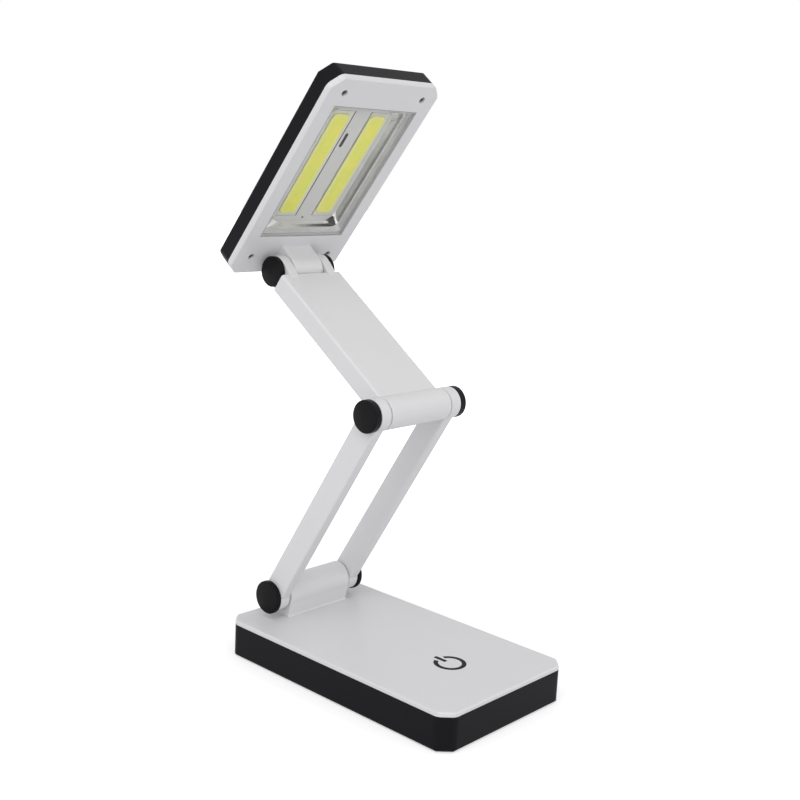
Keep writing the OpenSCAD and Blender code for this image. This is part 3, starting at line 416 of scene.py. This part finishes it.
def reflector_material():
    """Frosted floor and upper walls; polished lower walls, with painted shade just below the ledge and
    painted glints and dark reflections in the lower corners.
    """
    material, tree, output = new_material("reflector")
    across, up, out, middle, _ = flat_plate("window_lens")
    where = tree.nodes.new("ShaderNodeTexCoord")
    normal, place = where.outputs["Normal"], where.outputs["Object"]
    height = vector_maths(tree, "DOT_PRODUCT", place, out)
    over_ledge = maths(tree, "SUBTRACT", height, middle.dot(out) - LEDGE_DEPTH)
    flat = rise(tree, vector_maths(tree, "DOT_PRODUCT", normal, out), *FLOOR_COSINES)
    above = rise(tree, over_ledge, -LEDGE_BLUR, 0.0)
    clouds = noise(tree, CLOUD_SCALE)
    far_side = rise(tree, vector_maths(tree, "DOT_PRODUCT", place, across), GLINT_START, GLINT_FULL)
    window_middle = middle.dot(up)
    upward = vector_maths(tree, "DOT_PRODUCT", place, up)
    painted_glint_reach = maths(
        tree, "MULTIPLY", far_side, fall(tree, upward, window_middle - GLINT_END, window_middle)
    )
    turn = wall_turn(tree, normal, across, up)
    low_wall = wall_with_painted_light(tree, clouds, turn, over_ledge, painted_glint_reach)
    wall = mix_colours(tree, above, low_wall, mix_colours(tree, clouds, *HIGH_WALL))
    frosted = maths(tree, "MAXIMUM", flat, above)
    grain = noise(tree, REFLECTOR_GRAIN, FINE_DETAIL)
    shader = add(
        tree, "ShaderNodeBsdfPrincipled",
        Base_Color=mix_colours(tree, flat, wall, mix_colours(tree, clouds, *REFLECTOR_FLOOR)),
        Roughness=ramp(tree, frosted, *REFLECTOR_ROUGH),
        Metallic=ramp(tree, frosted, *REFLECTOR_METAL),
        Normal=relief(tree, grain, REFLECTOR_BUMP, REFLECTOR_DEPTH, Normal=rounded_edges(tree)),
    )
    tree.links.new(shader.outputs["BSDF"], output.inputs["Surface"])
    return material


def phosphor_material():
    """Yellow silicone with darker specks, paler along its rim; the mesh keeps the rim in its UV map."""
    material, tree, output = new_material("phosphor")
    place = tree.nodes.new("ShaderNodeUVMap")
    place.uv_map = "across"
    to_rim = add(tree, "ShaderNodeSeparateXYZ", Vector=place.outputs["UV"]).outputs["X"]
    specks = noise(tree, SPECK_SCALE, FINE_DETAIL, ROUGH_NOISE)
    yellow = mix_colours(tree, rise(tree, noise(tree, PATCH_SCALE), *PATCH_TURN), *PHOSPHOR)
    speckled = mix_colours(tree, ramp(tree, specks, 0.0, SPECK_SHARE, *SPECK_TURN), yellow, SPECK_COLOUR)
    shader = add(
        tree, "ShaderNodeBsdfPrincipled",
        Base_Color=mix_colours(tree, rise(tree, to_rim, RIM_START, 1.0), speckled, RIM_COLOUR),
        Roughness=ramp(tree, specks, *PHOSPHOR_ROUGH),
        Normal=relief(tree, specks, SPECK_BUMP, SPECK_DEPTH),
    )
    tree.links.new(shader.outputs["BSDF"], output.inputs["Surface"])
    return material


def clear_window():
    """Clear acrylic; light passes straight through it to what lies behind."""
    material, tree, output = new_material("clear_acrylic")
    shader = add(
        tree, "ShaderNodeBsdfPrincipled",
        Base_Color=CLEAR_COLOUR,
        Roughness=ramp(tree, noise(tree, HAZE_SCALE, FINE_DETAIL), *CLEAR_ROUGH),
        IOR=CLEAR_IOR,
        Transmission_Weight=1.0,
    )
    through = add(tree, "ShaderNodeBsdfTransparent", Color=CLEAR_SHADOW)
    shadow_ray = tree.nodes.new("ShaderNodeLightPath").outputs["Is Shadow Ray"]
    mixed = mix_shaders(tree, shadow_ray, shader.outputs["BSDF"], through.outputs["BSDF"])
    tree.links.new(mixed, output.inputs["Surface"])
    return material


def seen_ray(tree):
    """1 for rays from the camera, from gloss and through glass."""
    path = tree.nodes.new("ShaderNodeLightPath")
    gloss = maths(tree, "MAXIMUM", path.outputs["Is Camera Ray"], path.outputs["Is Glossy Ray"])
    return maths(tree, "MAXIMUM", gloss, path.outputs["Is Transmission Ray"])


def floor_material():
    """Pale floor that reads as white to the camera, keeps the lamp's shadow and ends in plain white."""
    material, tree, output = new_material("pale_floor")
    shader = add(tree, "ShaderNodeBsdfDiffuse", Color=FLOOR_COLOUR)
    place = tree.nodes.new("ShaderNodeTexCoord").outputs["Object"]
    reach = vector_maths(tree, "LENGTH", place)
    level = ramp(tree, reach, FLOOR_GLOW, FLOOR_GLOW_FAR, FLOOR_NEAR, FLOOR_FAR)
    strength = maths(tree, "MULTIPLY", seen_ray(tree), level)
    glow = add(tree, "ShaderNodeEmission", Color=WHITE_COLOUR, Strength=strength)
    both = tree.nodes.new("ShaderNodeAddShader")
    tree.links.new(shader.outputs["BSDF"], both.inputs[0])
    tree.links.new(glow.outputs["Emission"], both.inputs[1])
    tree.links.new(both.outputs["Shader"], output.inputs["Surface"])
    return material


def build_world():
    """White to the camera; a softer level lights the object."""
    world = bpy.data.worlds.new("studio")
    bpy.context.scene.world = world
    world.use_nodes = True
    tree = world.node_tree
    tree.nodes.clear()
    output = tree.nodes.new("ShaderNodeOutputWorld")
    light = add(tree, "ShaderNodeBackground", Color=WHITE_COLOUR, Strength=WORLD_LIGHT)
    white = add(tree, "ShaderNodeBackground", Color=WHITE_COLOUR, Strength=WHITE)
    mixed = mix_shaders(tree, seen_ray(tree), light.outputs["Background"], white.outputs["Background"])
    tree.links.new(mixed, output.inputs["Surface"])


def new_object(name, made, material):
    """A smooth object from a bmesh, which is freed."""
    mesh = bpy.data.meshes.new(name)
    made.to_mesh(mesh)
    made.free()
    for face in mesh.polygons:
        face.use_smooth = True
    mesh.materials.append(material)
    piece = bpy.data.objects.new(name, mesh)
    bpy.context.scene.collection.objects.link(piece)
    return piece


def build_floor():
    """Floor under the lamp, far wider than what the camera sees of it."""
    made = bmesh.new()
    bmesh.ops.create_grid(made, x_segments=FLOOR_SQUARES, y_segments=FLOOR_SQUARES, size=FLOOR_SIZE / 2)
    floor = new_object("floor", made, floor_material())


def build_lights():
    """Square area lamps that shine at the lamp."""
    for name, (place, power) in LAMPS.items():
        data = bpy.data.lights.new(name, "AREA")
        data.shape = "SQUARE"
        data.size = LAMP_SIDE
        data.energy = power
        lamp = bpy.data.objects.new(name, data)
        lamp.location = BASE_MIDDLE + Vector(place)
        ahead = BASE_MIDDLE + LAMP_TARGET - lamp.location
        lamp.rotation_euler = ahead.to_track_quat("-Z", "Y").to_euler()
        bpy.context.scene.collection.objects.link(lamp)


def build_camera():
    """Camera at the photograph's place and angle."""
    yaw, pitch, roll = (math.radians(a) for a in (CAMERA_YAW, CAMERA_PITCH, CAMERA_ROLL))
    ahead = Vector((-math.sin(yaw) * math.cos(pitch), math.cos(yaw) * math.cos(pitch), -math.sin(pitch)))
    right = ahead.cross(Vector((0, 0, 1))).normalized()
    up = right.cross(ahead)
    turned_right = right * math.cos(roll) + up * math.sin(roll)
    turned_up = -right * math.sin(roll) + up * math.cos(roll)
    data = bpy.data.cameras.new("photo_view")
    data.lens = CAMERA_LENS
    data.sensor_width = CAMERA_SENSOR
    data.sensor_height = CAMERA_SENSOR
    data.sensor_fit = "HORIZONTAL"
    data.clip_start = CAMERA_NEAR
    camera = bpy.data.objects.new("photo_view", data)
    axes = Matrix((turned_right, turned_up, -ahead)).transposed().to_4x4()
    camera.matrix_world = Matrix.Translation(BASE_MIDDLE + CAMERA_PLACE) @ axes
    bpy.context.scene.collection.objects.link(camera)
    bpy.context.scene.camera = camera


def flat_plate(node):
    """Place and size of a flat plate of the head: its axes, the middle of its open face, and its extents.

    Across runs along the hinge axes, up towards the top of the head and out through the window."""
    mesh = NODES[node].data
    out = max(mesh.polygons, key=lambda face: face.area).normal.copy()
    if out.z > 0:
        out.negate()
    across = Vector((1, 0, 0))
    up = across.cross(out).normalized()
    if up.z < 0:
        up.negate()
    reach = [[v.co.dot(axis) for v in mesh.vertices] for axis in (across, up, out)]
    low = [min(r) for r in reach]
    high = [max(r) for r in reach]
    middle = across * (low[0] + high[0]) / 2 + up * (low[1] + high[1]) / 2 + out * high[2]
    size = Vector(high) - Vector(low)
    return across, up, out, middle, size


def light_bead(name, node, material):
    """Crowned strip with round corners, standing on the board of the flat CAD strip that it replaces."""
    across, up, out, middle, size = flat_plate(node)
    root = middle - out * size.z - across * BEAD_ASIDE
    half_w, half_l = (size.x + BEAD_WIDER) / 2, size.y / 2
    made = bmesh.new()
    rim = made.loops.layers.uv.new("across")
    share = {}
    rows = []
    for i in range(BEAD_ROWS + 1):
        y = -half_l * math.cos(math.pi * i / BEAD_ROWS)
        past = max(0.0, abs(y) - (half_l - BEAD_CORNER))
        inset = BEAD_CORNER - math.sqrt(max(0.0, BEAD_CORNER ** 2 - past ** 2))
        row = []
        for j in range(BEAD_COLUMNS + 1):
            x = -(half_w - inset) * math.cos(math.pi * j / BEAD_COLUMNS)
            gap = min(half_w - inset - abs(x), half_l - abs(y))
            lift = BEAD_CROWN * math.sqrt(1 - (1 - min(1.0, gap / BEAD_SHOULDER)) ** 2)
            vertex = made.verts.new(root + across * x + up * y + out * lift)
            share[vertex] = max(abs(x) / half_w, 1 - (half_l - abs(y)) / half_w)
            row.append(vertex)
        rows.append(row)
    for low, high in zip(rows, rows[1:]):
        for corners in zip(low, low[1:], high[1:], high):
            face = made.faces.new(corners)
            for loop in face.loops:
                loop[rim].uv = (max(0.0, share[loop.vert]), 0.5)
    made.faces.new(outline(rows))
    bmesh.ops.remove_doubles(made, verts=made.verts, dist=WELD)
    bmesh.ops.recalc_face_normals(made, faces=made.faces)
    piece = new_object(name, made, material)
    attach(piece, "head")
    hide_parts(node)


def outline(rows):
    """The vertices round the edge of a grid, in order."""
    first, last = rows[0], rows[-1]
    right = [row[-1] for row in rows[1:-1]]
    left = [row[0] for row in rows[1:-1]]
    return first + right + last[::-1] + left[::-1]


def clear_cover(material, rim_shade_material):
    """The clear cover with a bevel round its rims, cut from the CAD plate; its bevelled rims get an opaque
    grey, both as cut edges and as a painted shadow line round the window.
    """
    made = bmesh.new()
    made.from_mesh(NODES["window_lens"].data)
    bmesh.ops.remove_doubles(made, verts=made.verts, dist=WELD)
    bmesh.ops.dissolve_limit(made, angle_limit=WELD_ANGLE, verts=made.verts, edges=made.edges)
    bmesh.ops.bevel(
        made, geom=made.edges[:], offset=RIM_BEVEL, segments=RIM_STEPS, profile=0.5, affect="EDGES",
        clamp_overlap=True,
    )
    piece = new_object("clear_cover", made, material)
    piece.data.materials.append(rim_shade_material)
    out = flat_plate("window_lens")[2]
    for face in piece.data.polygons:
        face.use_smooth = False
        face.material_index = int(abs(face.normal.dot(out)) < FLAT_FACE)
    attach(piece, "head")
    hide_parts("window_lens")


def wire_grommet(material):
    """Black grommet on the reflector's floor, where the wires of the boards come through."""
    across, up, out, middle, size = flat_plate("light_strip_left")
    floor = (middle - out * size.z).dot(out)
    centre = flat_plate("window_lens")[3] + across * GROMMET_PLACE[0] + up * GROMMET_PLACE[1]
    centre += out * (floor - centre.dot(out))
    made = bmesh.new()
    rings = []
    for radius, height in GROMMET_RINGS:
        ring = []
        for i in range(GROMMET_STEPS):
            turn = 2 * math.pi * (i + 0.5) / GROMMET_STEPS
            straight = math.copysign(GROMMET_STRAIGHT, math.cos(turn))
            along = up * (straight + radius * math.cos(turn)) + across * radius * math.sin(turn)
            ring.append(made.verts.new(centre + along + out * height))
        rings.append(ring)
    for low, high in zip(rings, rings[1:]):
        for i in range(GROMMET_STEPS):
            j = (i + 1) % GROMMET_STEPS
            made.faces.new((low[i], low[j], high[j], high[i]))
    made.faces.new(rings[0])
    made.faces.new(rings[-1])
    bmesh.ops.recalc_face_normals(made, faces=made.faces)
    piece = new_object("wire_grommet", made, material)
    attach(piece, "head")


def paint(material, *names):
    """Gives CAD nodes a material."""
    for name in names:
        mesh = NODES[name].data
        mesh.materials.clear()
        mesh.materials.append(material)


def paint_plain():
    """Mouldings, caps, fastenings, cells, boards and leads."""
    for finish, names in PAINTED.items():
        paint(surface(finish), *names)


def build_window():
    """What lies in the light window: clear cover, reflector, grommet and light strips."""
    clear = clear_window()
    phosphor = phosphor_material()
    paint(clear, "window_lens")
    paint(reflector_material(), "reflector_tray")
    paint(phosphor, "light_strip_left", "light_strip_right")
    # The cover's rims get opaque grey, a painted shadow line round the window
    clear_cover(clear, surface("frosted_rim_shade"))
    wire_grommet(surface("grommet_rubber"))
    light_bead("light_bead_left", "light_strip_left", phosphor)
    light_bead("light_bead_right", "light_strip_right", phosphor)


bpy.context.scene.view_settings.view_transform = "Standard"
build_camera()
build_world()
build_floor()
build_lights()
paint_plain()
build_window()
